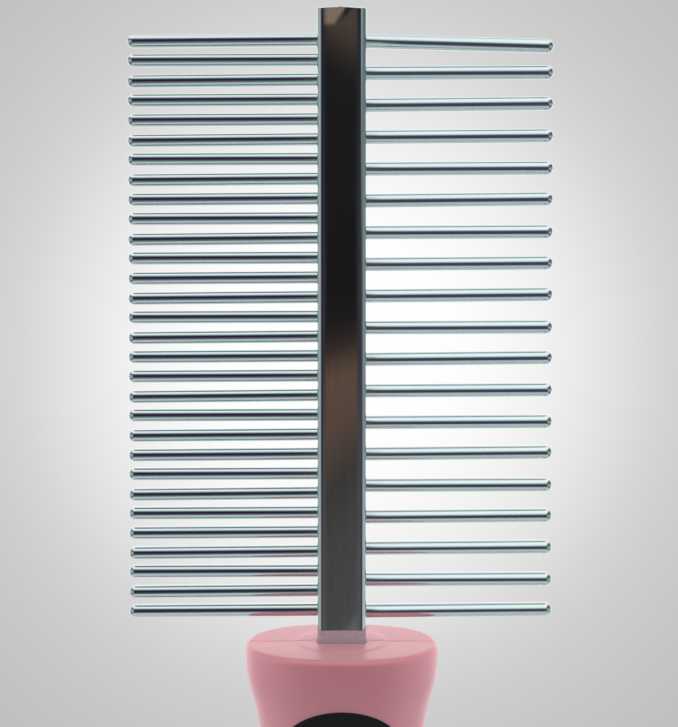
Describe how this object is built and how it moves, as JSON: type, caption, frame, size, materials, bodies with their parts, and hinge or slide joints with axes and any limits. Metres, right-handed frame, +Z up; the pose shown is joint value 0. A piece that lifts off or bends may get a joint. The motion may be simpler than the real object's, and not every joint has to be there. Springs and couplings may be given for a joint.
{
  "type": "double-sided pet grooming comb",
  "caption": "Pet comb with round-tipped steel pins, close-set on one side of a chromed bar and wide-set on the other, in a two-shell plastic handle with rubber grip pads and a hanging hole.",
  "frame": {"origin": "middle of the handle's lower end, on the surface that the comb stands on", "axes": "+Z up along the handle and the spine, +X across the pins towards the coarse row, +Y from the front of the handle to its back"},
  "size_m": [0.0668, 0.024, 0.1997],
  "materials": {
    "chrome_pins": "bright plated, smooth drawn wire with ground round tips",
    "chrome_bar": "bright plated, mirror smooth",
    "plain_steel": "plain machined",
    "pink_plastic": "semi-matte moulded, very fine texture",
    "black_rubber": "matte moulded rubber"
  },
  "bodies": {
    "root": {"fine_pin_01": "chrome_pins", "fine_pin_02": "chrome_pins", "fine_pin_03": "chrome_pins", "fine_pin_04": "chrome_pins", "fine_pin_05": "chrome_pins", "fine_pin_06": "chrome_pins", "fine_pin_07": "chrome_pins", "fine_pin_08": "chrome_pins", "fine_pin_09": "chrome_pins", "fine_pin_10": "chrome_pins", "fine_pin_11": "chrome_pins", "fine_pin_12": "chrome_pins", "fine_pin_13": "chrome_pins", "fine_pin_14": "chrome_pins", "fine_pin_15": "chrome_pins", "fine_pin_16": "chrome_pins", "fine_pin_17": "chrome_pins", "fine_pin_18": "chrome_pins", "fine_pin_19": "chrome_pins", "fine_pin_20": "chrome_pins", "fine_pin_21": "chrome_pins", "fine_pin_22": "chrome_pins", "fine_pin_23": "chrome_pins", "fine_pin_24": "chrome_pins", "fine_pin_25": "chrome_pins", "fine_pin_26": "chrome_pins", "fine_pin_27": "chrome_pins", "fine_pin_28": "chrome_pins", "fine_pin_29": "chrome_pins", "fine_pin_30": "chrome_pins", "coarse_pin_01": "chrome_pins", "coarse_pin_02": "chrome_pins", "coarse_pin_03": "chrome_pins", "coarse_pin_04": "chrome_pins", "coarse_pin_05": "chrome_pins", "coarse_pin_06": "chrome_pins", "coarse_pin_07": "chrome_pins", "coarse_pin_08": "chrome_pins", "coarse_pin_09": "chrome_pins", "coarse_pin_10": "chrome_pins", "coarse_pin_11": "chrome_pins", "coarse_pin_12": "chrome_pins", "coarse_pin_13": "chrome_pins", "coarse_pin_14": "chrome_pins", "coarse_pin_15": "chrome_pins", "coarse_pin_16": "chrome_pins", "coarse_pin_17": "chrome_pins", "coarse_pin_18": "chrome_pins", "coarse_pin_19": "chrome_pins", "spine_bar": "chrome_bar", "tang_dowels": "plain_steel", "shell_screws": "plain_steel", "front_shell": "pink_plastic", "rear_shell": "pink_plastic", "front_grip_pad": "black_rubber", "rear_grip_pad": "black_rubber"}
  },
  "joints": []
}
